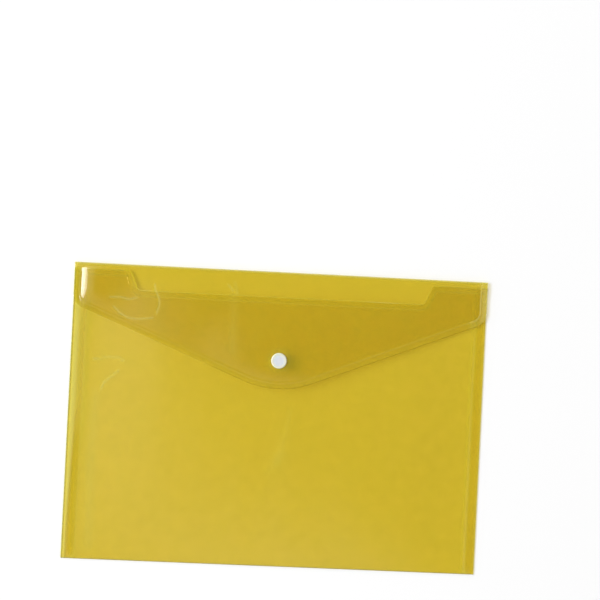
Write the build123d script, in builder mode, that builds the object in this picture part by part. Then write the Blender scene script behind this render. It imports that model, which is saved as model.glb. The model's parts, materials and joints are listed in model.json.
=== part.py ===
from build123d import *

import os

os.makedirs("parts", exist_ok=True)

# A4 document wallet, lying on its back panel.
# X runs across the width, Y from the bottom fold to the top crease, Z up out of the front.
# One blank of film is folded at the bottom, at both sides and at the top crease,
# and a press snap of four mouldings holds the flap down on the front panel.

# The blank
width = 330.0
height = 235.0
sheet = 0.2
overrun = 20.0

# Side tucks, folded in and welded under the edges of the front panel
tuck_width = 10.0
tuck_gap = 0.1
tuck_chamfer = 3.0
weld_gap = 0.02

# Front panel, which bows away from the back panel between the side welds
front_rise = 5.6
tab_fall_share = 0.55
bow_place_shares = (-1, -0.8, -0.55, -0.28, 0, 0.28, 0.55, 0.8, 1)
lower_front_shares = (0, 0.15, 0.35, 0.6, 0.82)
upper_front_shares = (0, 0.4, 0.75, 1)

# Mouth of the pocket, a shallow notch between two tabs
mouth_drop = 20.0
tab_drop = 4.5
tab_width = 44.5
tab_slant = 6.5
tab_round = 4.0

# Living crease at the top, and the flap that swings about it
crease_height = 3.0
flap_lift = 0.4
flap_settle = 32.0
flap_side = 33.0
flap_apex = 98.5
flap_corner_radius = 12.0
flap_tip_radius = 75.0
flap_station_shares = (0, 0.12, 0.27, 0.48, 0.74, 1, 1.2, 1.42)

# Embossed border line along the free edges of the flap and of the mouth
bead_inset = 4.5
bead_width = 1.2
bead_height = 0.15

# Press snap
snap_drop = 70.5
seat_gap = 0.06
snap_clearance = 0.1
post_diameter = 2.0
post_clearance = 0.1
post_head_diameter = 3.2
post_head_height = 0.35
head_recess = 0.45
head_gap = 0.02
cap_diameter = 12.4
cap_height = 1.6
cap_edge = 0.6
cap_rim = 1.0
cap_dish = 0.12
round_share = 0.7071
back_cap_diameter = 11.0
back_cap_height = 0.9
back_cap_edge = 0.4
socket_diameter = 10.6
socket_base = 0.8
socket_edge = 0.5
socket_wall_diameter = 8.2
socket_wall_height = 1.5
socket_bore = 5.3
socket_lip_bore = 4.84
socket_lip_lead = 0.15
socket_lip_height = 0.3
socket_lip_slope = 0.2
slit_width = 0.5
slit_count = 4
stud_diameter = 10.6
stud_base = 0.8
stud_edge = 0.5
stud_foot_diameter = 6.6
stud_neck = 4.4
stud_neck_height = 0.55
stud_shoulder = 0.25
stud_bulb = 5.0
stud_height = 1.4
stud_lead = 0.45

# Places that follow from the sizes above
side_x = width / 2
top_y = height / 2
bottom_y = -height / 2
tuck_top = sheet + tuck_gap + sheet
side_radius = tuck_top / 2
front_seat = tuck_top + weld_gap
front_edge_top = front_seat + sheet
bottom_radius = front_edge_top / 2
crease_radius = crease_height / 2
back_side_x = side_x - side_radius
back_bottom_y = bottom_y + bottom_radius
hinge_y = top_y - crease_radius
tab_top_y = top_y - tab_drop
mouth_y = top_y - mouth_drop
snap_y = top_y - snap_drop
bow_half_span = side_x - tuck_width
front_snap_top = front_edge_top + front_rise
snap_stack = seat_gap + stud_base + snap_clearance + socket_wall_height + socket_base + seat_gap
post_hole_radius = (post_diameter + post_clearance) / 2
flap_root = crease_height - sheet
flap_snap_bottom = front_snap_top + snap_stack
flap_edge_level = front_edge_top + flap_lift


def bow_share(place_share):
    """Share of the bow at a place across the panel: level at the middle and at both welds."""
    return (1 - place_share**4) ** 2


def front_share(y):
    """Share of the front panel's rise along its length, fullest at the snap."""
    if y < snap_y:
        return 1 - ((snap_y - y) / (snap_y - back_bottom_y)) ** 3
    return 1 - tab_fall_share * ((y - snap_y) / (tab_top_y - snap_y)) ** 4


def flap_middle(y):
    """Underside of the flap on its centre line: an arch from the crease, level at the snap."""
    reach_share = (hinge_y - y) / (hinge_y - snap_y)
    return flap_root + (flap_snap_bottom - flap_root) * (1 - (1 - reach_share) ** 2)


def flap_edge(y):
    """Underside of the flap at its sides: it settles from the crease on to the pocket."""
    settle_share = min(1, (hinge_y - y) / flap_settle)
    return flap_edge_level + (flap_root - flap_edge_level) * (1 - settle_share) ** 2


def bowed_section(y, edge_z, middle_z, thickness, margin):
    """Thin cross-section of a bowed panel, with a level strip along each side."""
    half_span = bow_half_span
    lower = [
        (share * half_span, edge_z + (middle_z - edge_z) * bow_share(share))
        for share in bow_place_shares
    ]
    upper = [(x, z + thickness) for x, z in reversed(lower)]
    end_x = half_span + margin
    with BuildSketch(Plane.XZ.offset(-y)) as section:
        with BuildLine():
            Line((-end_x, edge_z), lower[0])
            Spline(*lower, tangents=[(1, 0), (1, 0)])
            Polyline(lower[-1], (end_x, edge_z), (end_x, edge_z + thickness), upper[0])
            Spline(*upper, tangents=[(-1, 0), (-1, 0)])
            Polyline(upper[-1], (-end_x, edge_z + thickness), (-end_x, edge_z))
        make_face()
    return section.sketch


def front_sections(raised, thickness):
    """Cross-sections of the front panel from the bottom fold to the tops of the tabs."""
    lower_y = [back_bottom_y + share * (snap_y - back_bottom_y) for share in lower_front_shares]
    upper_y = [snap_y + share * (tab_top_y - snap_y) for share in upper_front_shares]
    return [
        bowed_section(
            y,
            front_seat + raised,
            front_seat + raised + front_rise * front_share(y),
            thickness,
            tuck_width,
        )
        for y in lower_y + upper_y
    ]


def flap_sections(raised, thickness):
    """Cross-sections of the flap from the crease to beyond its tip."""
    stations = [hinge_y - share * (hinge_y - snap_y) for share in flap_station_shares]
    return [
        bowed_section(
            y, flap_edge(y) + raised, flap_middle(y) + raised, thickness, tuck_width + overrun
        )
        for y in stations
    ]


def fold_section(plane, radius, facing):
    """Half-round section of a fold, from its lower sheet at the origin to its upper sheet."""
    inner = radius - sheet
    with BuildSketch(plane) as section:
        with BuildLine():
            ThreePointArc((0, 0), (facing * radius, radius), (0, 2 * radius))
            Line((0, 2 * radius), (0, 2 * radius - sheet))
            ThreePointArc((0, 2 * radius - sheet), (facing * inner, radius), (0, sheet))
            Line((0, sheet), (0, 0))
        make_face()
    return section.sketch


# Back panel
with BuildPart() as back_panel:
    with BuildSketch():
        with Locations((0, back_bottom_y)):
            Rectangle(2 * back_side_x, hinge_y - back_bottom_y, align=(Align.CENTER, Align.MIN))
    extrude(amount=sheet)
back_panel.part.label = "back_panel"
export_step(back_panel.part, "parts/back_panel.step")

# Bottom fold
with BuildPart() as bottom_fold:
    fold_plane = Plane(origin=(0, back_bottom_y, 0), x_dir=(0, 1, 0), z_dir=(1, 0, 0))
    extrude(fold_section(fold_plane, bottom_radius, -1), amount=back_side_x, both=True)
bottom_fold.part.label = "bottom_fold"
export_step(bottom_fold.part, "parts/bottom_fold.step")

# Side tucks
for side, tuck_name in ((-1, "left_side_tuck"), (1, "right_side_tuck")):
    with BuildPart() as side_tuck:
        tuck_plane = Plane(origin=(side * back_side_x, tab_top_y, 0), x_dir=(1, 0, 0), z_dir=(0, -1, 0))
        extrude(fold_section(tuck_plane, side_radius, side), amount=tab_top_y - back_bottom_y)
        with BuildSketch(Plane.XY.offset(tuck_top - sheet)):
            with BuildLine():
                tuck_inner_x = side * (side_x - tuck_width)
                Polyline(
                    (side * back_side_x, back_bottom_y),
                    (side * back_side_x, tab_top_y),
                    (tuck_inner_x, tab_top_y - tuck_chamfer),
                    (tuck_inner_x, back_bottom_y + tuck_chamfer),
                    close=True,
                )
            make_face()
        extrude(amount=sheet)
    side_tuck.part.label = tuck_name
    export_step(side_tuck.part, f"parts/{tuck_name}.step")

# Front panel
with BuildSketch() as mouth_notch:
    with BuildLine():
        notch_top_x = side_x - tab_width
        notch_foot_x = notch_top_x - tab_slant
        Polyline(
            (-side_x - overrun, tab_top_y + overrun),
            (-side_x - overrun, tab_top_y),
            (-notch_top_x, tab_top_y),
            (-notch_foot_x, mouth_y),
            (notch_foot_x, mouth_y),
            (notch_top_x, tab_top_y),
            (side_x + overrun, tab_top_y),
            (side_x + overrun, tab_top_y + overrun),
            close=True,
        )
    make_face()
    foot_corners = mouth_notch.vertices().group_by(Axis.Y)[0]
    top_corners = mouth_notch.vertices().group_by(Axis.Y)[1].sort_by(Axis.X)[1:3]
    fillet(foot_corners + top_corners, radius=tab_round)

with BuildPart() as mouth_bead:
    loft(front_sections(sheet / 2, sheet / 2 + bead_height))
    with BuildSketch() as mouth_bead_plan:
        offset(mouth_notch.sketch, amount=bead_inset + bead_width, kind=Kind.ARC)
        offset(mouth_notch.sketch, amount=bead_inset, kind=Kind.ARC, mode=Mode.SUBTRACT)
    extrude(mouth_bead_plan.sketch, amount=overrun, mode=Mode.INTERSECT)

with BuildPart() as front_panel:
    loft(front_sections(0, sheet))
    extrude(mouth_notch.sketch, amount=overrun, mode=Mode.SUBTRACT)
    add(mouth_bead.part)
    with Locations((0, snap_y, front_snap_top)):
        Cylinder(post_hole_radius, overrun, mode=Mode.SUBTRACT)
front_panel.part.label = "front_panel"
export_step(front_panel.part, "parts/front_panel.step")

# Living crease
with BuildPart() as flap_crease:
    crease_plane = Plane(origin=(0, hinge_y, 0), x_dir=(0, 1, 0), z_dir=(1, 0, 0))
    extrude(fold_section(crease_plane, crease_radius, 1), amount=side_x, both=True)
flap_crease.part.label = "flap_crease"
export_step(flap_crease.part, "parts/flap_crease.step")

# Flap
with BuildSketch() as flap_outline:
    with BuildLine():
        Polyline(
            (-side_x, top_y + overrun),
            (-side_x, top_y - flap_side),
            (0, top_y - flap_apex),
            (side_x, top_y - flap_side),
            (side_x, top_y + overrun),
            close=True,
        )
    make_face()
    fillet(flap_outline.vertices().group_by(Axis.Y)[1], radius=flap_corner_radius)
    fillet(flap_outline.vertices().sort_by(Axis.Y)[0], radius=flap_tip_radius)

with BuildPart() as flap_bead:
    loft(flap_sections(sheet / 2, sheet / 2 + bead_height))
    with BuildSketch() as flap_bead_plan:
        offset(flap_outline.sketch, amount=-bead_inset)
        offset(flap_outline.sketch, amount=-bead_inset - bead_width, mode=Mode.SUBTRACT)
    extrude(flap_bead_plan.sketch, amount=overrun, mode=Mode.INTERSECT)

with BuildPart() as flap:
    loft(flap_sections(0, sheet))
    extrude(flap_outline.sketch, amount=overrun, mode=Mode.INTERSECT)
    add(flap_bead.part)
    with Locations((0, snap_y, flap_snap_bottom)):
        Cylinder(post_hole_radius, overrun, mode=Mode.SUBTRACT)
flap.part.label = "flap"
export_step(flap.part, "parts/flap.step")

# Press snap: profiles are drawn from the snap's axis outwards and revolved about it
snap_axis = Axis((0, snap_y, 0), (0, 0, 1))


def snap_plane(z):
    """Upright plane through the snap's axis, with its origin at one level of the snap."""
    return Plane(origin=(0, snap_y, z), x_dir=(1, 0, 0), z_dir=(0, -1, 0))


post_radius = post_diameter / 2
post_head_radius = post_head_diameter / 2
head_recess_radius = (post_head_diameter + post_clearance) / 2
cap_seat = flap_snap_bottom + sheet + seat_gap
socket_seat = flap_snap_bottom - seat_gap
stud_seat = front_snap_top + seat_gap
back_cap_seat = front_snap_top - sheet - seat_gap

# Cap on the outside of the flap, riveted through it into the socket
with BuildPart() as snap_cap:
    with BuildSketch(snap_plane(cap_seat)):
        cap_radius = cap_diameter / 2
        dish_radius = cap_radius - cap_rim
        cap_head_top = socket_seat - socket_base + head_recess - head_gap - cap_seat
        cap_post_end = cap_head_top - post_head_height
        with BuildLine():
            Polyline(
                (0, cap_height - cap_dish),
                (0, cap_post_end),
                (post_head_radius, cap_post_end),
                (post_head_radius, cap_head_top),
                (post_radius, cap_head_top),
                (post_radius, 0),
                (cap_radius, 0),
                (cap_radius, cap_edge),
            )
            cap_shoulder = (
                dish_radius + round_share * cap_rim,
                cap_edge + round_share * (cap_height - cap_edge),
            )
            ThreePointArc((cap_radius, cap_edge), cap_shoulder, (dish_radius, cap_height))
            Polyline(
                (dish_radius, cap_height),
                (dish_radius - cap_dish, cap_height - cap_dish),
                (0, cap_height - cap_dish),
            )
        make_face()
    revolve(axis=snap_axis)
snap_cap.part.label = "snap_cap"
export_step(snap_cap.part, "parts/snap_cap.step")

# Socket under the flap: a lipped ring, slit so that it can spring over the stud
with BuildPart() as snap_socket:
    with BuildSketch(snap_plane(socket_seat)):
        socket_mouth = -socket_base - socket_wall_height
        with BuildLine():
            Polyline(
                (post_hole_radius, 0),
                (socket_diameter / 2, 0),
                (socket_diameter / 2, -socket_edge),
                (socket_wall_diameter / 2, -socket_base),
                (socket_wall_diameter / 2, socket_mouth),
                (socket_lip_bore / 2 + socket_lip_lead, socket_mouth),
                (socket_lip_bore / 2, socket_mouth + socket_lip_lead),
                (socket_lip_bore / 2, socket_mouth + socket_lip_height),
                (socket_bore / 2, socket_mouth + socket_lip_height + socket_lip_slope),
                (socket_bore / 2, -socket_base),
                (head_recess_radius, -socket_base),
                (head_recess_radius, -socket_base + head_recess),
                (post_hole_radius, -socket_base + head_recess),
                close=True,
            )
        make_face()
    revolve(axis=snap_axis)
    with BuildSketch(Plane.XY.offset(socket_seat + socket_mouth)):
        with Locations((0, snap_y)):
            with PolarLocations(socket_wall_diameter / 4 + socket_lip_bore / 4, slit_count):
                Rectangle(socket_wall_diameter / 2, slit_width)
    extrude(amount=socket_wall_height, mode=Mode.SUBTRACT)
snap_socket.part.label = "snap_socket"
export_step(snap_socket.part, "parts/snap_socket.step")

# Stud on the outside of the front panel: its bulb is wider than the socket's lip
with BuildPart() as snap_stud:
    with BuildSketch(snap_plane(stud_seat)):
        stud_top = stud_base + stud_height
        shoulder_top = stud_base + stud_neck_height + stud_shoulder
        with BuildLine():
            Polyline(
                (post_hole_radius, 0),
                (stud_diameter / 2, 0),
                (stud_diameter / 2, stud_edge),
                (stud_foot_diameter / 2, stud_base),
                (stud_neck / 2, stud_base),
                (stud_neck / 2, stud_base + stud_neck_height),
                (stud_bulb / 2, shoulder_top),
            )
            bulb_side = (
                stud_bulb / 2 - stud_lead + round_share * stud_lead,
                shoulder_top + round_share * (stud_top - shoulder_top),
            )
            ThreePointArc(
                (stud_bulb / 2, shoulder_top), bulb_side, (stud_bulb / 2 - stud_lead, stud_top)
            )
            Polyline(
                (stud_bulb / 2 - stud_lead, stud_top),
                (head_recess_radius, stud_top),
                (head_recess_radius, stud_top - head_recess),
                (post_hole_radius, stud_top - head_recess),
                (post_hole_radius, 0),
            )
        make_face()
    revolve(axis=snap_axis)
snap_stud.part.label = "snap_stud"
export_step(snap_stud.part, "parts/snap_stud.step")

# Back cap inside the pocket, riveted through the front panel into the stud
with BuildPart() as snap_back_cap:
    with BuildSketch(snap_plane(back_cap_seat)):
        back_cap_radius = back_cap_diameter / 2
        back_head_bottom = stud_seat + stud_top - head_recess + head_gap - back_cap_seat
        with BuildLine():
            Polyline(
                (0, back_head_bottom + post_head_height),
                (0, -back_cap_height),
                (back_cap_radius - back_cap_edge, -back_cap_height),
                (back_cap_radius, -back_cap_height + back_cap_edge),
                (back_cap_radius, 0),
                (post_radius, 0),
                (post_radius, back_head_bottom),
                (post_head_radius, back_head_bottom),
                (post_head_radius, back_head_bottom + post_head_height),
                close=True,
            )
        make_face()
    revolve(axis=snap_axis)
snap_back_cap.part.label = "snap_back_cap"
export_step(snap_back_cap.part, "parts/snap_back_cap.step")
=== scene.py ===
import json
import math

import bmesh
import bpy
import numpy as np
from mathutils import Euler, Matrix, Vector, kdtree, noise


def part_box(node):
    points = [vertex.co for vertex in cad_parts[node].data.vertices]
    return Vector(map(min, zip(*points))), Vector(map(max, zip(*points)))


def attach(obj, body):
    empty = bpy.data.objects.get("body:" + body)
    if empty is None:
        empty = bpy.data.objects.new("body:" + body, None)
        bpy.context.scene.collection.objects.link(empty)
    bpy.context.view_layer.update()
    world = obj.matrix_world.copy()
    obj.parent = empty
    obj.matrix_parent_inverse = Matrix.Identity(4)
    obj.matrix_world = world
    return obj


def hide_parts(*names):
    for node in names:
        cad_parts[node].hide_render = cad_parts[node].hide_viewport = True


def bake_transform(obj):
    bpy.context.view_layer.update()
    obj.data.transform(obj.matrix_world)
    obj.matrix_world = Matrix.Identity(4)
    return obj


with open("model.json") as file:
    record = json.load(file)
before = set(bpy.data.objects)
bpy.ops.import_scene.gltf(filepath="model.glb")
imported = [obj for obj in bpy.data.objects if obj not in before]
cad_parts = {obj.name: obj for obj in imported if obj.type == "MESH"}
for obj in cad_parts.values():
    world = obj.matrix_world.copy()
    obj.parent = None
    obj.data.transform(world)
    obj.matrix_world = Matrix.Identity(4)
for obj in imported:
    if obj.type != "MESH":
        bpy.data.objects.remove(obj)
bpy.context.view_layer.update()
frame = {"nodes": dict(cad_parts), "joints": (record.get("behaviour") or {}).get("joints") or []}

# Sizes in metres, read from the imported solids
hinge = frame["joints"][0]
HINGE_Y, HINGE_Z = hinge["pos_m"][1], hinge["pos_m"][2]
SIDE_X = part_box("front_panel")[1].x
FRONT_LOW_Y, TAB_TOP_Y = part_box("front_panel")[0].y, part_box("front_panel")[1].y
TOP_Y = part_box("flap_crease")[1].y
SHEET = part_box("back_panel")[1].z
TUCK_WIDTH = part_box("right_side_tuck")[1].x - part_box("right_side_tuck")[0].x
FRONT_EDGE_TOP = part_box("bottom_fold")[1].z
FLAP_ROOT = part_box("flap_crease")[1].z
CREASE_RADIUS = FLAP_ROOT / 2
SNAP_Y = (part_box("snap_cap")[0].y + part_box("snap_cap")[1].y) / 2
SNAP_PLACE = Vector((0, SNAP_Y))
SEAT_GAP = 0.00006
FRONT_SNAP_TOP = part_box("snap_stud")[0].z - SEAT_GAP
FLAP_SNAP_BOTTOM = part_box("snap_socket")[1].z + SEAT_GAP
BOW_HALF_SPAN = SIDE_X - TUCK_WIDTH

# Outline of the mouth of the pocket, and how the tabs fall towards the back panel
MOUTH_DROP = 0.020
MOUTH_Y = TOP_Y - MOUTH_DROP
TAB_WIDTH = 0.0445
TAB_INNER_X = SIDE_X - TAB_WIDTH
TAB_SLANT = 0.0065
TAB_ROUND = 0.004
TAB_FALL_SHARE = 0.55
PAST_SIDE = 0.01

# Outline of the flap
FLAP_SIDE = 0.033
FLAP_APEX = 0.0985
SIDE_LOW_Y = TOP_Y - FLAP_SIDE
APEX_Y = TOP_Y - FLAP_APEX
FLAP_CORNER_RADIUS = 0.012
FLAP_TIP_RADIUS = 0.075

# How the flap comes down from the crease, lies on the pocket and is held off it by the snap
FLAP_LIFT = 0.0004
FLAP_HUG_GAP = 0.0005
FLAP_HUG_REACH = 0.024
SNAP_FLAT_RADIUS = 0.0070
SNAP_RISE_RADIUS = 0.034
SNAP_HOLD_ACROSS = 2.2
SNAP_HOLD_ABOVE = 2

# Shoulders of the flap near its sides, and the roll down to its side edges; pairs are left, right
FLAP_SHOULDERS = (0.0040, 0.0018)
FLAP_SHOULDER_TOP_Y = 0.097
FLAP_SHOULDER_LOW_Y = 0.071
FLAP_SETTLES = (0.004, 0.012)
SHOULDER_X = 0.110
SHOULDER_RUN = 0.045
FLAP_ROLL_START = 0.0048
FLAP_ROLL_WIDTH = 0.0130

# Side strips of the front panel: they stand proud over the tucks, less so under the flap
STRIP_PUFF = 0.00040
STRIP_WIDTH = 0.0102
STRIP_STEPS = (0.0050, 0.0040)
STRIP_SLOPE = (0.0042, 0.0078)
STRIP_SLOPE_LOW_Y = -0.08
STRIP_SLOPE_RUN = 0.12
STRIP_PRESSED_Y = 0.070
STRIP_PRESSED_RUN = 0.012
STRIP_PRESSED_SHARE = 0.6
STRIP_END_RUN = 0.004

# Slow unevenness of the films (seed, length across, length along, height), calm at the snap and folds
FRONT_RIPPLES = ((3.1, 0.030, 0.090, 0.00028), (7.7, 0.014, 0.060, 0.00002))
FLAP_RIPPLES = ((12.4, 0.030, 0.070, 0.00022), (5.2, 0.013, 0.050, 0.00002))
CALM_REACH = 0.02

# Embossed border line along the free edges, and the curl of the border outside it
BEAD_INSET = 0.0047
BEAD_HALF_WIDTH = 0.0006
BEAD_HEIGHT = 0.00024
SIDE_BEAD_HEIGHT = 0.00036
FLAP_CURL = 0.00080
SIDE_CURL = 0.00120
MOUTH_CURL = 0.00035
CURL_FADE = 0.006
SIDE_BORDER_X = 0.150
SIDE_BORDER_RUN = 0.006

# Darker lines: painted shade along the fold at the left side, and painted shadow along the flap's cut
# edge from its tip to the right
FOLD_LINE = 0.0010
EDGE_SHADOW_WIDTH = 0.00028
EDGE_SHADOW_X = -0.055

# Post holes of the snap, and the smooth rim and the dimples of its caps
HOLE_RADIUS = 0.00105
CAP_RADIUS = 0.006
CAP_RIM = (0.0038, 0.0047)
DIMPLE_PITCH = 0.0010
DIMPLE_EDGE = (0.20, 0.42)
DIMPLE_UNEVEN = 0.12

# Dents left by handling: points of each stroke, its width, its depth and how much it pales the film; on
# the narrow dents that is partly stress whitening and partly painted highlight along the crease, and on
# the wide soft strokes it is painted sheen
FLAP_DENTS = [
    ([(-0.1357, 0.0908), (-0.1277, 0.0913), (-0.1213, 0.0896), (-0.1152, 0.0914)],
     0.0010, 0.00006, 0.48),
    ([(-0.1327, 0.0833), (-0.1271, 0.0781), (-0.1207, 0.0750), (-0.1127, 0.0745), (-0.1020, 0.0760)],
     0.0009, 0.00006, 0.48),
    ([(-0.0990, 0.0797), (-0.0968, 0.0861), (-0.0977, 0.0924), (-0.1007, 0.0983), (-0.1013, 0.1023)],
     0.0009, 0.00006, 0.46),
    ([(-0.0428, 0.1052), (-0.0388, 0.1003)], 0.0009, 0.00006, 0.45),
    ([(-0.0372, 0.1073), (-0.0363, 0.0985)], 0.0009, 0.00006, 0.45),
    # A wide soft streak: its paleness is painted sheen.
    ([(-0.0386, 0.0970), (-0.0372, 0.0530)], 0.0035, 0.00002, 0.12),
]
FRONT_DENTS = [
    ([(-0.1466, 0.0411), (-0.1367, 0.0429), (-0.1267, 0.0428), (-0.1229, 0.0405)],
     0.0010, 0.00004, 0.42),
    ([(-0.1399, 0.0175), (-0.1377, 0.0233), (-0.1323, 0.0279), (-0.1263, 0.0333)],
     0.0010, 0.00004, 0.42),
    ([(0.0111, 0.0075), (0.0076, -0.0086), (0.0030, -0.0307), (-0.0044, -0.0425)],
     0.0020, 0.00002, 0.10),
    ([(0.0045, -0.0270), (0.0015, -0.0335)], 0.0040, 0.00002, 0.16),
    # A wide soft streak: its paleness is painted sheen.
    ([(-0.1448, 0.0128), (-0.1456, -0.0426), (-0.1440, -0.1057)], 0.0045, 0.00003, 0.16),
]

# Front panel's folds, welds and mouth: shares of paleness (pale) and of milkiness. The welds' milkiness
# is the film's own, and the embossed line's paleness is partly whitening and partly painted highlight.
# The rest is painted light: a painted highlight along the right fold and the mouth's cut edge, and
# painted sheen on the left fold, the left side strip and the mouth's border, most on the left slant
WELD_INSET = 0.0088
WELD_HALF_WIDTH = 0.0021
WELD_MILKS = (0.08, 0.09)
# Painted highlight along the right fold.
RIGHT_FOLD_HIGHLIGHT = 0.35
RIGHT_FOLD_WIDTH = 0.0014
# Painted sheen on the left fold and left side strip, widening towards the top.
LEFT_FOLD_SHEEN_PALE = 0.15
LEFT_FOLD_SHEEN_MILK = 0.38
LEFT_FOLD_REACH = 0.0030
LEFT_FOLD_GROWTH = 0.0034
LEFT_FOLD_LOW_Y = -0.105
LEFT_FOLD_RUN = 0.125
LEFT_SIDE_SHEEN_MILK = 0.26
LEFT_SIDE_REACH = 0.012
LEFT_SIDE_LOW_Y = -0.06
LEFT_SIDE_RUN = 0.08
FOLD_LINE_BLEND = 0.001
# Mouth: painted highlight along the cut edge; the embossed line is partly whitened and partly painted
# highlight; painted sheen on the border, most on the left slant.
MOUTH_CUT_HIGHLIGHT = 1.4
MOUTH_CUT_WIDTH = 0.0007
MOUTH_BEAD_PALE = 0.55
MOUTH_BORDER_SHEEN = 0.045
MOUTH_BORDER_BLEND = 0.0012
SLANT_SHEEN = 0.16
SLANT_LEAD = 0.0065
SLANT_BLEND_X = 0.003
SLANT_BLEND_Y = 0.002

# Paleness of the flap's border, stronger at the right side, and of the strained film round the cap: the
# embossed line is partly whitened, while the cut edge, the curl and the extra paleness at the right are
# painted highlight and sheen; the strained film is whitened
FLAP_CUT_HIGHLIGHT = 0.35
FLAP_CUT_WIDTH = 0.0004
FLAP_BEAD_PALE = 0.1
RIGHT_SLANT_HIGHLIGHT = 0.14
RIGHT_SLANT_X = 0.02
RIGHT_SLANT_RUN = 0.03
RIGHT_SIDE_HIGHLIGHT = 0.26
RIGHT_SIDE_RUN = 0.004
RIGHT_BORDER_SHEEN = 0.15
CURL_PALE = 0.12
CURL_PALE_INSET = 0.0020
CURL_PALE_WIDTH = 0.0013
RIGHT_CURL_LOSS = 0.5
STRAIN_WIDTH = 0.0040
STRAIN_PALE = 0.1
STRAIN_MILK = 0.04
CREASE_PALE = 0.25

# Mesh of the films: spans of columns from the middle to a side (start, end, step), and rows
HOLE_ZONE = 0.0014
HOLE_STEP = 0.00035
FRONT_COLUMNS = (
    (0, HOLE_ZONE, HOLE_STEP),
    (HOLE_ZONE, 0.104, 0.0021),
    (0.104, 0.148, 0.0006),
    (0.148, SIDE_X - FOLD_LINE, 0.0006),
    (SIDE_X - FOLD_LINE, SIDE_X, FOLD_LINE),
)
FLAP_COLUMNS = (
    (0, HOLE_ZONE, HOLE_STEP),
    (HOLE_ZONE, 0.094, 0.0018),
    (0.094, 0.137, 0.0006),
    (0.137, 0.152, 0.0010),
    (0.152, SIDE_X, 0.00035),
)
BORDER_ZONE = 0.0105
FRONT_ROW_STEP = 0.0022
FRONT_UPPER_ROWS = 20
FRONT_BORDER_ROWS = 33
FLAP_ROW_SHARE = 0.014
FLAP_HOLE_SHARE = 0.02
FLAP_HOLE_ROW_SHARE = 0.004
FLAP_BORDER_ROWS = 36
CREASE_COLUMNS = 121
CREASE_ROWS = 25
SHARP_ANGLE = 0.7
PLACE_DIGITS = 7

# Material slots of the film pieces' faces; slot 0 is the plain film, slot 1 the cut edges, also painted
# as shadow along part of the flap's edge, and slot 2 the painted shade of the left fold
EDGE_SLOT = 1
FOLD_SHADE_SLOT = 2

# Colours, linear
FILM_TINT = (0.998, 0.932, 0.685, 1)
WELDED_TINT = (0.994, 0.978, 0.83, 1)
# Cut edges' tint; on the bottom fold and along part of the flap's edge it is painted shade and painted
# shadow.
EDGE_TINT = (0.76, 0.70, 0.42, 1)
# Painted shade along the left fold.
FOLD_SHADE_TINT = (0.83, 0.82, 0.62, 1)
FILM_BODY = (0.75, 0.90, 0.035, 1)
# Whitened and worn colours of the milky part; they also carry painted highlight and painted sheen.
FILM_WHITENED_AND_HIGHLIT = (0.93, 0.93, 0.60, 1)
FILM_WORN_AND_SHEEN = (0.92, 0.93, 0.20, 1)
# Snap rims and plain parts: their yellow tint is painted reflection of the yellow film.
SNAP_RIM = (0.755, 0.775, 0.625, 1)
SNAP_RIM_SHADE = (0.725, 0.745, 0.595, 1)
# Snap faces: the darker colour is painted shade in the dimples.
SNAP_FACE = (0.750, 0.778, 0.806, 1)
SNAP_SHADE = (0.560, 0.582, 0.612, 1)
FLOOR_WHITE = (0.93, 0.93, 0.93, 1)

# Film material: milky share of each film, and reflection as a multiple of one face's
FILM_HAZE = 0.11
EDGE_HAZE = 0.12
FOLD_HAZE = 0.08
WELDED_HAZE = 0.01
FILM_FACES = 1.9
WELDED_FACES = 0.3
FILM_IOR = 1.49
FILM_ROUGHNESS = (0.08, 0.14)
HAZE_SPREAD = (0.95, 1.05)
MARK_HAZE = 0.30
WEAR_AND_SHEEN_MILK = 0.2
CLOUD_SCALE = 22
CLOUD_EDGES = (0.35, 0.65)
CLOUD_SHADE = 0.998
SMEAR_SCALE = 90
SMEAR_BUMP = 0.7
GRAIN_SCALE = 2600
FILM_BUMP_STRENGTH = 0.25
FILM_BUMP_HEIGHT = 0.00006
NOISE_EDGES = (0.3, 0.7)

# Snap and floor materials
SNAP_CLOUD_SCALE = 500
SNAP_GRAIN_SCALE = 5200
SNAP_GRAIN_BUMP = 0.06
SNAP_BUMP_STRENGTH = 0.6
SNAP_BUMP_HEIGHT = 0.0002
SNAP_ROUGHNESS = (0.38, 0.5)
SNAP_SUBSURFACE = 0.1
SNAP_SUBSURFACE_DEPTH = 0.001
FIBRE_SCALE = 900
FIBRE_SHADE = 0.995

# Floor, just below the wallet
FLOOR_HALF_SIZE = 3
FLOOR_SEGMENTS = 8
FLOOR_Z = -0.0003

# Camera, at the photograph's viewing angle
CAMERA_LENS = 85
CAMERA_SENSOR = 36
CAMERA_CLIP = (0.01, 20)
CAMERA_AIM = Vector((0.01474, 0.09600, 0))
CAMERA_DISTANCE = 1.1331
CAMERA_TURN_DEG = (0.20, -2.90, 2.86)

# Light: a softbox at the left, in panels (angle from overhead, power) that are brighter lower down
KEY_AZIMUTH_DEG = 170
KEY_DISTANCE = 8
KEY_PANEL_SIZE = (4.2, 1.0)
KEY_PANELS = ((51, 234), (44, 156), (37, 85))

# Room: white, brighter at the upper left, and dark overhead to the right, which the gloss shows
LIT_SIDE = Vector((-0.85, 0.53, 0))
LIT_EDGES = (0, 0.5)
ROOM_LEVELS = (0.595, 0.96)
DARK_CENTRE = Vector((0.37, 0.20, 0.907))
DARK_EDGES = (0.766, 0.9135)
DARK_LEVEL = 0.163
ROOM_WHITE = (1, 1, 1, 1)
FILM_LAYER_LIMIT = 64


# Small helpers

def ease(value, start, run):
    """Go from 0 at the start to 1 a run further on, with level ends."""
    share = min(1, max(0, (value - start) / run))
    return share * share * (3 - 2 * share)


def bell(offset, width, power=2):
    """1 at no offset, falling to nearly 0 past the width; a higher power has a flatter top."""
    return math.exp(-((offset / width) ** power))


def side_of(x):
    """Place of the left or right side's value in a pair."""
    return int(x > 0)


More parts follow.
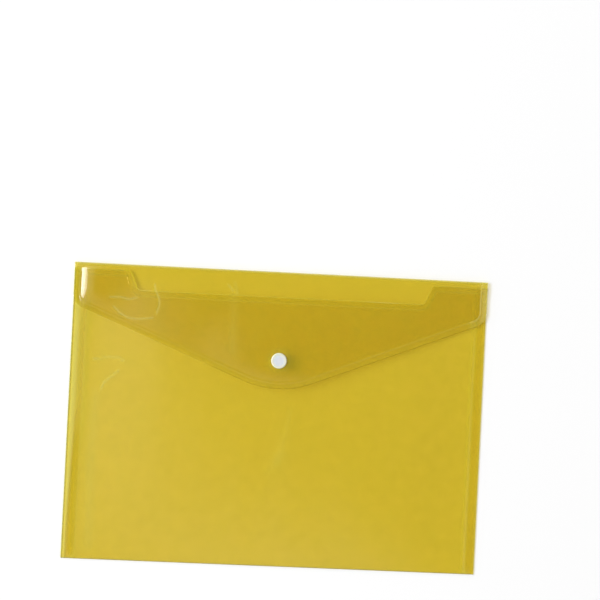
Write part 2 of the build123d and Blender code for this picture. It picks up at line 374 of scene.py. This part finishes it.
def rounded_path(corners, radii, steps=14):
    """Points along a polyline whose inner corners are rounded, each with its own radius."""
    points = [np.array(corners[0])]
    for before, corner, after, radius in zip(corners, corners[1:], corners[2:], radii):
        before, corner, after = np.array(before), np.array(corner), np.array(after)
        towards = (before - corner) / np.linalg.norm(before - corner)
        onward = (after - corner) / np.linalg.norm(after - corner)
        half_angle = math.acos(np.dot(towards, onward)) / 2
        middle = (towards + onward) / np.linalg.norm(towards + onward)
        centre = corner + middle * radius / math.sin(half_angle)
        start = corner + towards * radius / math.tan(half_angle) - centre
        end = corner + onward * radius / math.tan(half_angle) - centre
        sweep = math.acos(np.dot(start, end) / radius**2)
        for step in range(steps + 1):
            turn = step / steps
            part = math.sin((1 - turn) * sweep) * start + math.sin(turn * sweep) * end
            points.append(centre + part / math.sin(sweep))
    points.append(np.array(corners[-1]))
    return np.array(points)


def fine_path(path, step=0.0004):
    """The same path with points at most one step apart."""
    points = []
    for start, end in zip(path, path[1:]):
        count = max(1, math.ceil(np.linalg.norm(end - start) / step))
        shares = np.linspace(0, 1, count, endpoint=False)
        points += [start + (end - start) * share for share in shares]
    return points + [path[-1]]


def tree_of(points):
    """Search tree that gives the distance from a place to a line of points."""
    tree = kdtree.KDTree(len(points))
    for index, (x, y) in enumerate(points):
        tree.insert((x, y, 0), index)
    tree.balance()
    return tree


def distance(tree, x, y):
    """Distance from a place to the nearest point of a search tree."""
    return tree.find((x, y, 0))[2]


def sorted_places(*lists):
    """Places of all the lists in order, each one once."""
    return np.unique(np.concatenate(lists).round(PLACE_DIGITS))


def spaced(*spans):
    """Places along a line from spans of (start, end, step)."""
    lists = []
    for start, end, step in spans:
        lists.append(np.linspace(start, end, max(2, round((end - start) / step) + 1)))
    return sorted_places(*lists)


# Heights of the top surfaces of the front panel and of the flap

def bow_share(x):
    """Share of the bow at a place across the panel: level at the middle and at both welds."""
    return (1 - min(1, abs(x) / BOW_HALF_SPAN) ** 4) ** 2


def front_share(y):
    """Share of the front panel's rise along its length, fullest at the snap."""
    if y < SNAP_Y:
        return 1 - ((SNAP_Y - y) / (SNAP_Y - FRONT_LOW_Y)) ** 3
    return 1 - TAB_FALL_SHARE * ((y - SNAP_Y) / (TAB_TOP_Y - SNAP_Y)) ** 4


def front_level(x, y):
    """Height of the front panel's plain bow."""
    return FRONT_EDGE_TOP + (FRONT_SNAP_TOP - FRONT_EDGE_TOP) * front_share(y) * bow_share(x)


def ripples(x, y, waves):
    """Slow unevenness of a film that was folded, filled and emptied; calm round the snap."""
    height = 0
    for seed, across, along, high in waves:
        height += high * noise.noise(Vector((x / across, y / along, seed)))
    return height * ease(math.hypot(x, y - SNAP_Y), 0, CALM_REACH)


def strip_puff(x, y):
    """Height of the side strip: a slope up from the fold, then a step down at the tuck's inner edge."""
    from_side = SIDE_X - abs(x)
    low_slope, high_slope = STRIP_SLOPE
    slope = low_slope + (high_slope - low_slope) * ease(y, STRIP_SLOPE_LOW_Y, STRIP_SLOPE_RUN)
    step = STRIP_STEPS[side_of(x)]
    across = ease(from_side, 0, slope) * ease(STRIP_WIDTH - from_side, 0, step)
    pressed = 1 - STRIP_PRESSED_SHARE * ease(y, STRIP_PRESSED_Y, STRIP_PRESSED_RUN)
    return STRIP_PUFF * across * pressed * ease(y, FRONT_LOW_Y, STRIP_END_RUN)


def front_top(x, y):
    """Height of the front panel: its bow, its side strips and its ripples."""
    uneven = ripples(x, y, FRONT_RIPPLES) * ease(y, FRONT_LOW_Y, CALM_REACH) * bow_share(x)
    return front_level(x, y) + strip_puff(x, y) + uneven


def flap_hug(x, y):
    """Height at which the flap lies on the front panel, held off it round the snap."""
    along = y - SNAP_Y
    if along > 0:
        along /= SNAP_HOLD_ABOVE
    from_snap = math.hypot(x / SNAP_HOLD_ACROSS, along)
    held = 1 - ease(from_snap, SNAP_FLAT_RADIUS, SNAP_RISE_RADIUS - SNAP_FLAT_RADIUS)
    snap_gap = FLAP_SNAP_BOTTOM - FRONT_SNAP_TOP
    gap = FLAP_HUG_GAP + (snap_gap - FLAP_HUG_GAP) * held
    return front_level(x, y) + gap + SHEET


def flap_level(x, y):
    """Height of the flap inside its rolled sides: a fall in the middle, a shoulder near each side."""
    reach = HINGE_Y - y
    hug = flap_hug(x, y)
    middle = hug + (FLAP_ROOT - hug) * (1 - min(1, reach / FLAP_HUG_REACH)) ** 2
    hold = ease(y, FLAP_SHOULDER_LOW_Y, FLAP_SHOULDER_TOP_Y - FLAP_SHOULDER_LOW_Y)
    shoulder = hug + (max(hug, FLAP_SHOULDERS[side_of(x)]) - hug) * hold
    settled = ease(reach, 0, FLAP_SETTLES[side_of(x)])
    shoulder = FLAP_ROOT + (shoulder - FLAP_ROOT) * settled
    return middle + (shoulder - middle) * ease(abs(x), SHOULDER_X, SHOULDER_RUN)


def flap_top(x, y):
    """Height of the flap, with its sides rolled down on to the pocket's edges."""
    reach = HINGE_Y - y
    edge = FRONT_EDGE_TOP + FLAP_LIFT + SHEET
    edge += (FLAP_ROOT - edge) * (1 - min(1, reach / FLAP_SETTLES[side_of(x)])) ** 2
    inside = min(1, max(0, (SIDE_X - abs(x) - FLAP_ROLL_START) / FLAP_ROLL_WIDTH))
    roll = 1 - (1 - inside) ** 2
    uneven = ripples(x, y, FLAP_RIPPLES) * ease(reach, 0, CALM_REACH)
    return edge + (flap_level(x, y) - edge) * roll + uneven * roll


def bead_share(from_edge):
    """Share of the embossed line's height at a distance from the edge."""
    return bell(from_edge - BEAD_INSET, BEAD_HALF_WIDTH)


def border_height(from_edge, bead, curl):
    """Height of the embossed line and of the border outside it, which curls up a little."""
    return bead * bead_share(from_edge) + curl * max(0, 1 - from_edge / BEAD_INSET)


# Dents and wear

def stroke_trees(dents):
    """Search tree of each stroke, with its width, depth and paleness."""
    return [(tree_of(fine_path(np.array(points))), *rest) for points, *rest in dents]


def dent_depth(strokes, x, y):
    """Depth of the dents at a place."""
    return sum(deep * bell(distance(tree, x, y), width) for tree, width, deep, pale in strokes)


def dent_pale_and_sheen(strokes, x, y):
    """Paleness of the dents at a place: partly stress whitening, partly painted highlight and sheen."""
    return max(pale * bell(distance(tree, x, y), width) for tree, width, deep, pale in strokes)


def side_sheen_and_welds(x, y):
    """Paleness and milkiness of the front's sides: a painted highlight along the right fold, painted
    sheen on the left fold and side strip, widest at the top, and the welds' own milkiness.
    """
    from_side = SIDE_X - abs(x)
    weld = WELD_MILKS[side_of(x)] * bell(from_side - WELD_INSET, WELD_HALF_WIDTH)
    if x > 0:
        return RIGHT_FOLD_HIGHLIGHT * bell(from_side, RIGHT_FOLD_WIDTH), weld
    beside_fold = ease(from_side, FOLD_LINE, FOLD_LINE_BLEND)
    reach = LEFT_FOLD_REACH + LEFT_FOLD_GROWTH * ease(y, LEFT_FOLD_LOW_Y, LEFT_FOLD_RUN)
    fold = bell(from_side, reach, 4) * beside_fold
    side = bell(from_side, LEFT_SIDE_REACH, 4) * beside_fold * ease(y, LEFT_SIDE_LOW_Y, LEFT_SIDE_RUN)
    return LEFT_FOLD_SHEEN_PALE * fold, max(LEFT_FOLD_SHEEN_MILK * fold, LEFT_SIDE_SHEEN_MILK * side, weld)


def mouth_sheen_milk(x, y, from_edge):
    """Milkiness of the border above the embossed line, most on the left tab's slant: painted sheen."""
    border = ease(BEAD_INSET - from_edge, 0, MOUTH_BORDER_BLEND)
    slant = 0
    if x < 0:
        past_tab = ease(x, -TAB_INNER_X - SLANT_LEAD, SLANT_BLEND_X)
        slant = past_tab * ease(y, MOUTH_Y, SLANT_BLEND_Y)
    return (MOUTH_BORDER_SHEEN + SLANT_SHEEN * slant) * border


def flap_border_pale_and_highlight(x, y, from_edge):
    """Paleness of the flap's border: cut edge, embossed line and curl, the curl plainer at the right.
    The embossed line is partly whitened; the rest is painted highlight and sheen, strongest on the right
    side's line and border.
    """
    cut = 0
    if y > SIDE_LOW_Y or x < EDGE_SHADOW_X:
        cut = FLAP_CUT_HIGHLIGHT * bell(from_edge, FLAP_CUT_WIDTH)
    right = ease(x, SIDE_BORDER_X, RIGHT_SIDE_RUN)
    slant = ease(x, RIGHT_SLANT_X, RIGHT_SLANT_RUN)
    line = FLAP_BEAD_PALE + RIGHT_SLANT_HIGHLIGHT * slant + RIGHT_SIDE_HIGHLIGHT * right
    border = line * bead_share(from_edge)
    if from_edge < BEAD_INSET:
        border += RIGHT_BORDER_SHEEN * right
    curl = bell(from_edge - CURL_PALE_INSET, CURL_PALE_WIDTH)
    border += CURL_PALE * (1 - RIGHT_CURL_LOSS * slant) * curl
    return max(cut, border)


# Film pieces

def fill_grid(made, columns, rows_at, top, marks):
    """Upper face of a film piece over a grid of places, open where the snap's post goes through."""
    mark_layer = made.verts.layers.float.new("marks")
    milk_layer = made.verts.layers.float.new("milk")
    grid = []
    for x in columns:
        line = []
        for y in rows_at(x):
            vert = made.verts.new((x, y, top(x, y)))
            vert[mark_layer], vert[milk_layer] = marks(x, y)
            line.append(vert)
        grid.append(line)
    for left, right in zip(grid, grid[1:]):
        for a, b, c, d in zip(left, right, right[1:], left[1:]):
            middle = (a.co + c.co).xy / 2
            if (middle - SNAP_PLACE).length > HOLE_RADIUS:
                made.faces.new((a, b, c, d))


def round_hole(made):
    """Delete the points left loose in the hole, and put its rim on a circle."""
    loose = [vert for vert in made.verts if not vert.link_faces]
    bmesh.ops.delete(made, geom=loose, context="VERTS")
    for vert in made.verts:
        away = vert.co.xy - SNAP_PLACE
        if vert.is_boundary and away.length < 2 * HOLE_RADIUS:
            vert.co.xy = SNAP_PLACE + away.normalized() * HOLE_RADIUS


def face_up(made):
    """Turn all faces upwards."""
    bmesh.ops.recalc_face_normals(made, faces=made.faces[:])
    if sum(face.normal.z for face in made.faces) < 0:
        bmesh.ops.reverse_faces(made, faces=made.faces[:])


def thicken(made):
    """Add the lower face, one film's thickness below, and walls along all open edges."""
    rim = [edge for edge in made.edges if edge.is_boundary]
    copied = bmesh.ops.duplicate(made, geom=made.verts[:] + made.edges[:] + made.faces[:])
    lower = copied["vert_map"]
    under = [item for item in copied["geom"] if isinstance(item, bmesh.types.BMFace)]
    for vert in {vert for face in under for vert in face.verts}:
        vert.co.z -= SHEET
    bmesh.ops.reverse_faces(made, faces=under)
    for edge in rim:
        loop = edge.link_loops[0]
        first, second = loop.vert, loop.link_loop_next.vert
        wall = made.faces.new((second, first, lower[first], lower[second]))
        wall.material_index = EDGE_SLOT


def smooth_faces(made):
    for face in made.faces:
        face.smooth = True


def finished(name, made):
    """Object of a finished mesh, in the scene."""
    mesh = bpy.data.meshes.new(name)
    made.to_mesh(mesh)
    made.free()
    piece = bpy.data.objects.new(name, mesh)
    bpy.context.scene.collection.objects.link(piece)
    return piece


def film_piece(name, columns, rows_at, top, marks):
    """Closed sheet of film with a round post hole, and sharp edges along its walls."""
    made = bmesh.new()
    fill_grid(made, columns, rows_at, top, marks)
    round_hole(made)
    face_up(made)
    thicken(made)
    smooth_faces(made)
    for edge in made.edges:
        slots = [face.material_index for face in edge.link_faces]
        if slots.count(EDGE_SLOT) == 1:
            edge.smooth = False
    return finished(name, made)


def mouth_edge():
    """Upper edge of the front panel: two tabs and the notch between them."""
    corners = [
        (-SIDE_X - PAST_SIDE, TAB_TOP_Y),
        (-TAB_INNER_X, TAB_TOP_Y),
        (-TAB_INNER_X + TAB_SLANT, MOUTH_Y),
        (TAB_INNER_X - TAB_SLANT, MOUTH_Y),
        (TAB_INNER_X, TAB_TOP_Y),
        (SIDE_X + PAST_SIDE, TAB_TOP_Y),
    ]
    return rounded_path(corners, [TAB_ROUND] * 4)


def build_front():
    """Front panel: bowed film with a notched mouth and an embossed line below its edge."""
    edge = mouth_edge()
    edge_tree = tree_of(fine_path(edge))
    dents = stroke_trees(FRONT_DENTS)
    half = spaced(*FRONT_COLUMNS)
    columns = sorted_places(-half, half, edge[1:-1, 0])

    def rows_at(x):
        top_y = float(np.interp(x, edge[:, 0], edge[:, 1]))
        below = spaced(
            (FRONT_LOW_Y, FRONT_LOW_Y + FOLD_LINE, FOLD_LINE),
            (FRONT_LOW_Y + FOLD_LINE, SNAP_Y - HOLE_ZONE, FRONT_ROW_STEP),
            (SNAP_Y - HOLE_ZONE, SNAP_Y + HOLE_ZONE, HOLE_STEP),
        )
        border_y = top_y - BORDER_ZONE
        above = np.linspace(SNAP_Y + HOLE_ZONE, border_y, FRONT_UPPER_ROWS)[1:]
        border = np.linspace(border_y, top_y, FRONT_BORDER_ROWS)[1:]
        return np.concatenate((below, above, border))

    def lifted(x, y):
        border = border_height(distance(edge_tree, x, y), BEAD_HEIGHT, MOUTH_CURL)
        return front_top(x, y) + border - dent_depth(dents, x, y)

    def marks(x, y):
        from_edge = distance(edge_tree, x, y)
        cut = MOUTH_CUT_HIGHLIGHT * bell(from_edge, MOUTH_CUT_WIDTH)
        bead = MOUTH_BEAD_PALE * bead_share(from_edge)
        fold_sheen_pale, fold_sheen_and_weld_milk = side_sheen_and_welds(x, y)
        pale = max(cut, fold_sheen_pale, bead, dent_pale_and_sheen(dents, x, y))
        return pale, fold_sheen_and_weld_milk + mouth_sheen_milk(x, y, from_edge)

    front = film_piece("front_film", columns, rows_at, lifted, marks)
    # The outermost strip along the left fold takes the fold film: painted shade.
    for face in front.data.polygons:
        if SIDE_X + face.center.x < FOLD_LINE:
            face.material_index = FOLD_SHADE_SLOT
    return front


def flap_edge():
    """Free edges of the flap, from one end of the crease round the tip to the other."""
    corners = [
        (-SIDE_X, HINGE_Y),
        (-SIDE_X, SIDE_LOW_Y),
        (0, APEX_Y),
        (SIDE_X, SIDE_LOW_Y),
        (SIDE_X, HINGE_Y),
    ]
    return rounded_path(corners, [FLAP_CORNER_RADIUS, FLAP_TIP_RADIUS, FLAP_CORNER_RADIUS])


def build_flap():
    """Flap: bowed film with a pointed free edge, rolled down at the sides."""
    edge = flap_edge()
    edge_tree = tree_of(fine_path(edge))
    dents = stroke_trees(FLAP_DENTS)
    half = spaced(*FLAP_COLUMNS)
    columns = sorted_places(-half, half, edge[2:-2, 0])
    low = edge[1:-1]
    hole = (HINGE_Y - SNAP_Y) / (HINGE_Y - APEX_Y - BORDER_ZONE)
    shares = spaced(
        (0, hole - FLAP_HOLE_SHARE, FLAP_ROW_SHARE),
        (hole - FLAP_HOLE_SHARE, hole + FLAP_HOLE_SHARE, FLAP_HOLE_ROW_SHARE),
        (hole + FLAP_HOLE_SHARE, 1, FLAP_ROW_SHARE),
    )

    def rows_at(x):
        low_y = float(np.interp(x, low[:, 0], low[:, 1]))
        upper = HINGE_Y - (HINGE_Y - low_y - BORDER_ZONE) * shares
        border = np.linspace(low_y + BORDER_ZONE, low_y, FLAP_BORDER_ROWS)[1:]
        return np.concatenate((upper, border))

    def lifted(x, y):
        sideways = ease(abs(x), SIDE_BORDER_X, SIDE_BORDER_RUN)
        bead = BEAD_HEIGHT + (SIDE_BEAD_HEIGHT - BEAD_HEIGHT) * sideways
        curl = FLAP_CURL + (SIDE_CURL - FLAP_CURL) * sideways
        border = border_height(distance(edge_tree, x, y), bead, curl)
        border *= ease(HINGE_Y - y, 0, CURL_FADE)
        return flap_top(x, y) + border - dent_depth(dents, x, y)

    def marks(x, y):
        border = flap_border_pale_and_highlight(x, y, distance(edge_tree, x, y))
        from_cap = max(0, math.hypot(x, y - SNAP_Y) - CAP_RADIUS)
        strained = bell(from_cap, STRAIN_WIDTH)
        pale = max(border, STRAIN_PALE * strained, dent_pale_and_sheen(dents, x, y))
        return pale, STRAIN_MILK * strained

    flap = film_piece("flap_film", columns, rows_at, lifted, marks)
    # Faces along the cut edge from just left of the tip to the right take the edge film: painted shadow
    # of the edge on the pocket.
    for face in flap.data.polygons:
        x, y = face.center.xy
        if x > EDGE_SHADOW_X and y < SIDE_LOW_Y and distance(edge_tree, x, y) < EDGE_SHADOW_WIDTH:
            face.material_index = EDGE_SLOT
    return flap


def build_crease():
    """Living crease: half-round fold from the back panel up to the flap."""
    made = bmesh.new()
    mark_layer = made.verts.layers.float.new("marks")
    arcs = np.linspace(-math.pi / 2, math.pi / 2, CREASE_ROWS)
    rings = []
    for x in np.linspace(-SIDE_X, SIDE_X, CREASE_COLUMNS):
        ring = []
        for radius, angles in ((CREASE_RADIUS, arcs), (CREASE_RADIUS - SHEET, arcs[::-1])):
            for angle in angles:
                y = HINGE_Y + radius * math.cos(angle)
                ring.append(made.verts.new((x, y, HINGE_Z + radius * math.sin(angle))))
        rings.append(ring)
    count = len(rings[0])
    for left, right in zip(rings, rings[1:]):
        for index in range(count):
            after = (index + 1) % count
            made.faces.new((left[index], right[index], right[after], left[after]))
    for ring in (rings[0], rings[-1]):
        for index in range(len(arcs) - 1):
            mate = count - 1 - index
            end = made.faces.new((ring[index], ring[index + 1], ring[mate - 1], ring[mate]))
            end.material_index = EDGE_SLOT
    bmesh.ops.recalc_face_normals(made, faces=made.faces[:])
    for vert in made.verts:
        vert[mark_layer] = CREASE_PALE
    smooth_faces(made)
    for edge in made.edges:
        if edge.calc_face_angle(0) > SHARP_ANGLE:
            edge.smooth = False
    return finished("crease_film", made)


# Materials

def node(tree, kind, inputs=None, **settings):
    """New shader node; an input is given a number, a colour or another node's output."""
    made = tree.nodes.new(kind)
    for key, value in settings.items():
        setattr(made, key, value)
    for key, value in (inputs or {}).items():
        if isinstance(value, bpy.types.NodeSocket):
            tree.links.new(value, made.inputs[key])
        else:
            made.inputs[key].default_value = value
    return made


def new_material(name):
    """Empty node material and its tree."""
    material = bpy.data.materials.new(name)
    material.use_nodes = True
    material.node_tree.nodes.clear()
    return material, material.node_tree


def output(tree, shader):
    node(tree, "ShaderNodeOutputMaterial", {"Surface": shader})


def math_node(tree, operation, first, second):
    return node(tree, "ShaderNodeMath", {0: first, 1: second}, operation=operation).outputs[0]


def vector_node(tree, operation, first, second=(0, 0, 0)):
    return node(tree, "ShaderNodeVectorMath", {0: first, 1: second}, operation=operation).outputs


def mixed(tree, share, first, second):
    """Colour between two colours."""
    return node(tree, "ShaderNodeMixRGB", {0: share, 1: first, 2: second}).outputs[0]


def mixed_shader(tree, share, first, second):
    """Shader between two shaders."""
    return node(tree, "ShaderNodeMixShader", {0: share, 1: first, 2: second}).outputs[0]


def remap(tree, value, low, high, new_low, new_high):
    """Smooth step from one range of values to another."""
    inputs = {"Value": value, "From Min": low, "From Max": high, "To Min": new_low, "To Max": new_high}
    return node(tree, "ShaderNodeMapRange", inputs, interpolation_type="SMOOTHSTEP").outputs[0]


def object_place(tree):
    return node(tree, "ShaderNodeTexCoord").outputs["Object"]


def noise_at(tree, place, scale, detail):
    inputs = {"Vector": place, "Scale": scale, "Detail": detail}
    return node(tree, "ShaderNodeTexNoise", inputs).outputs["Fac"]


def point_value(tree, name):
    """Value that the film's points carry under a name."""
    return node(tree, "ShaderNodeAttribute", attribute_name=name).outputs["Fac"]


def shaded(colour, share):
    """A colour times a share."""
    return tuple(value * share for value in colour[:3]) + (1,)


def bumped(tree, height, strength, size):
    inputs = {"Height": height, "Strength": strength, "Distance": size}
    return node(tree, "ShaderNodeBump", inputs).outputs[0]


def film_body(tree, marks, milk, normal):
    """Milky part of the film, lit from both sides; marks whiten it, as stress whitening and as painted
    highlight, and milk makes it pale, as wear and welds and as painted sheen.
    """
    whitened_and_highlit = mixed(tree, marks, FILM_BODY, FILM_WHITENED_AND_HIGHLIT)
    body = mixed(tree, remap(tree, milk, 0, WEAR_AND_SHEEN_MILK, 0, 1), whitened_and_highlit, FILM_WORN_AND_SHEEN)
    front = node(tree, "ShaderNodeBsdfDiffuse", {"Color": body, "Normal": normal}).outputs[0]
    back = node(tree, "ShaderNodeBsdfTranslucent", {"Color": body, "Normal": normal}).outputs[0]
    return mixed_shader(tree, 0.5, front, back)


def film_shine(tree, faces):
    """Share of light that the film reflects, on its front face only."""
    fresnel = node(tree, "ShaderNodeFresnel", {"IOR": FILM_IOR}).outputs[0]
    backfacing = node(tree, "ShaderNodeNewGeometry").outputs["Backfacing"]
    facing = math_node(tree, "SUBTRACT", 1.0, backfacing)
    return math_node(tree, "MULTIPLY", math_node(tree, "MULTIPLY", fresnel, faces), facing)


def film_material(name, tint, haze, faces=FILM_FACES):
    """Tinted see-through film: clear colour, a little milkiness and an uneven gloss."""
    material, tree = new_material(name)
    place = object_place(tree)
    cloud = noise_at(tree, place, CLOUD_SCALE, 3)
    smear = noise_at(tree, place, SMEAR_SCALE, 2)
    grain = noise_at(tree, place, GRAIN_SCALE, 2)
    height = math_node(tree, "ADD", grain, math_node(tree, "MULTIPLY", smear, SMEAR_BUMP))
    normal = bumped(tree, height, FILM_BUMP_STRENGTH, FILM_BUMP_HEIGHT)
    clouded = remap(tree, cloud, *CLOUD_EDGES, 0, 1)
    colour = mixed(tree, clouded, tint, shaded(tint, CLOUD_SHADE))
    clear = node(tree, "ShaderNodeBsdfTransparent", {"Color": colour}).outputs[0]
    marks, milk = point_value(tree, "marks"), point_value(tree, "milk")
    milky = film_body(tree, marks, milk, normal)
    marked = math_node(tree, "ADD", math_node(tree, "MULTIPLY", marks, MARK_HAZE), milk)
    hazy = remap(tree, smear, *NOISE_EDGES, *[haze * spread for spread in HAZE_SPREAD])
    film = mixed_shader(tree, math_node(tree, "ADD", marked, hazy), clear, milky)
    rough = remap(tree, smear, *NOISE_EDGES, *FILM_ROUGHNESS)
    gloss = node(tree, "ShaderNodeBsdfGlossy", {"Roughness": rough, "Normal": normal}).outputs[0]
    output(tree, mixed_shader(tree, film_shine(tree, faces), film, gloss))
    return material


def dimples(tree, place):
    """Depth of the dimples of a cap's face, which also paints their shade, and the share of the face
    inside its smooth rim.
    """
    centred = vector_node(tree, "SUBTRACT", place, (0, SNAP_Y, 0))[0]
    flat = vector_node(tree, "MULTIPLY", centred, (1, 1, 0))[0]
    radius = vector_node(tree, "LENGTH", flat)["Value"]
    inputs = {"Vector": flat, "Scale": 1 / DIMPLE_PITCH, "Randomness": DIMPLE_UNEVEN}
    cells = node(tree, "ShaderNodeTexVoronoi", inputs, voronoi_dimensions="2D")
    dimple = remap(tree, cells.outputs["Distance"], *DIMPLE_EDGE, 1, 0)
    return dimple, remap(tree, radius, *CAP_RIM, 1, 0)


def snap_material(name, dimpled):
    """White moulded plastic, slightly cloudy, tinted yellow as painted reflection of the film round it;
    on a cap's face, a grid of dimples painted darker as shade, inside a smooth rim.
    """
    material, tree = new_material(name)
    place = object_place(tree)
    cloud = noise_at(tree, place, SNAP_CLOUD_SCALE, 2)
    grain = noise_at(tree, place, SNAP_GRAIN_SCALE, 2)
    colour = mixed(tree, cloud, SNAP_RIM_SHADE, SNAP_RIM)
    height = math_node(tree, "MULTIPLY", grain, SNAP_GRAIN_BUMP)
    if dimpled:
        dimple, inside = dimples(tree, place)
        colour = mixed(tree, inside, colour, mixed(tree, dimple, SNAP_FACE, SNAP_SHADE))
        height = math_node(tree, "SUBTRACT", height, math_node(tree, "MULTIPLY", dimple, inside))
    shader = node(tree, "ShaderNodeBsdfPrincipled", {
        "Base Color": colour,
        "Roughness": remap(tree, cloud, *NOISE_EDGES, *SNAP_ROUGHNESS),
        "Normal": bumped(tree, height, SNAP_BUMP_STRENGTH, SNAP_BUMP_HEIGHT),
        "Subsurface Weight": SNAP_SUBSURFACE,
        "Subsurface Scale": SNAP_SUBSURFACE_DEPTH,
    })
    output(tree, shader.outputs[0])
    return material


def floor_material():
    """White paper with a faint fibre."""
    material, tree = new_material("floor_paper")
    fibre = noise_at(tree, object_place(tree), FIBRE_SCALE, 3)
    colour = mixed(tree, fibre, shaded(FLOOR_WHITE, FIBRE_SHADE), FLOOR_WHITE)
    output(tree, node(tree, "ShaderNodeBsdfDiffuse", {"Color": colour}).outputs[0])
    return material


# Floor, light and camera

def build_floor():
    made = bmesh.new()
    bmesh.ops.create_grid(
        made, x_segments=FLOOR_SEGMENTS, y_segments=FLOOR_SEGMENTS, size=FLOOR_HALF_SIZE)
    floor = finished("floor", made)
    floor.location.z = FLOOR_Z
    floor.data.materials.append(floor_material())


def build_key():
    """Large softbox, far to the left, so that it lights the floor evenly."""
    azimuth = math.radians(KEY_AZIMUTH_DEG)
    for polar_deg, power in KEY_PANELS:
        data = bpy.data.lights.new("key", "AREA")
        data.shape = "RECTANGLE"
        data.size, data.size_y = KEY_PANEL_SIZE
        data.energy = power
        lamp = bpy.data.objects.new("key", data)
        polar = math.radians(polar_deg)
        level = Vector((math.cos(azimuth), math.sin(azimuth), 0)) * math.sin(polar)
        towards = level + Vector((0, 0, math.cos(polar)))
        lamp.location = towards * KEY_DISTANCE
        lamp.rotation_euler = (-towards).to_track_quat("-Z", "Y").to_euler()
        bpy.context.scene.collection.objects.link(lamp)


def build_world():
    """White room round the floor, with its lit side and its dark part overhead."""
    world = bpy.data.worlds.new("studio")
    world.use_nodes = True
    tree = world.node_tree
    direction = node(tree, "ShaderNodeTexCoord").outputs["Generated"]
    towards_dark = vector_node(tree, "DOT_PRODUCT", direction, DARK_CENTRE)["Value"]
    outside = remap(tree, towards_dark, *DARK_EDGES, 1, 0)
    towards_lit = vector_node(tree, "DOT_PRODUCT", direction, LIT_SIDE)["Value"]
    room = remap(tree, towards_lit, *LIT_EDGES, *ROOM_LEVELS)
    above_dark = math_node(tree, "MULTIPLY", outside, math_node(tree, "SUBTRACT", room, DARK_LEVEL))
    background = tree.nodes["Background"]
    tree.links.new(math_node(tree, "ADD", above_dark, DARK_LEVEL), background.inputs["Strength"])
    background.inputs["Color"].default_value = ROOM_WHITE
    bpy.context.scene.world = world


def build_camera():
    data = bpy.data.cameras.new("camera")
    data.lens = CAMERA_LENS
    data.sensor_width = CAMERA_SENSOR
    data.clip_start, data.clip_end = CAMERA_CLIP
    camera = bpy.data.objects.new("camera", data)
    turn = Euler([math.radians(angle) for angle in CAMERA_TURN_DEG])
    camera.rotation_euler = turn
    camera.location = CAMERA_AIM + turn.to_matrix() @ Vector((0, 0, CAMERA_DISTANCE))
    bpy.context.scene.collection.objects.link(camera)
    bpy.context.scene.camera = camera


# The scene

def dress(piece, *materials):
    """Materials of a new piece, in the order of its faces' slot numbers."""
    for material in materials:
        piece.data.materials.append(material)


def redress(material, *names):
    """Better material for CAD nodes that keep their meshes."""
    for name in names:
        for slot in frame["nodes"][name].material_slots:
            slot.material = material


build_camera()
build_floor()
build_key()
build_world()

film = film_material("film_yellow", FILM_TINT, FILM_HAZE)
film_edge = film_material("film_yellow_edge", EDGE_TINT, EDGE_HAZE)
film_fold_shade = film_material("film_yellow_fold_shade", FOLD_SHADE_TINT, FOLD_HAZE)
film_welded = film_material("film_yellow_welded", WELDED_TINT, WELDED_HAZE, WELDED_FACES)
snap_plain = snap_material("snap_white", False)
snap_dimpled = snap_material("snap_white_dimpled", True)

front_film = build_front()
dress(front_film, film, film_edge, film_fold_shade)
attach(front_film, "pocket")
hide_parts("front_panel")

flap_film = build_flap()
dress(flap_film, film, film_edge)
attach(flap_film, "flap")
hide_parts("flap")

crease_film = build_crease()
dress(crease_film, film, film_edge)
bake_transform(crease_film)
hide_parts("flap_crease")

redress(film, "back_panel")
# The bottom fold wears the cut-edge film: painted shade along the rounded fold.
redress(film_edge, "bottom_fold")
redress(film_welded, "left_side_tuck", "right_side_tuck")
redress(snap_plain, "snap_socket", "snap_stud")
redress(snap_dimpled, "snap_cap", "snap_back_cap")

scene = bpy.context.scene
scene.view_settings.view_transform = "Standard"
scene.cycles.transparent_max_bounces = FILM_LAYER_LIMIT
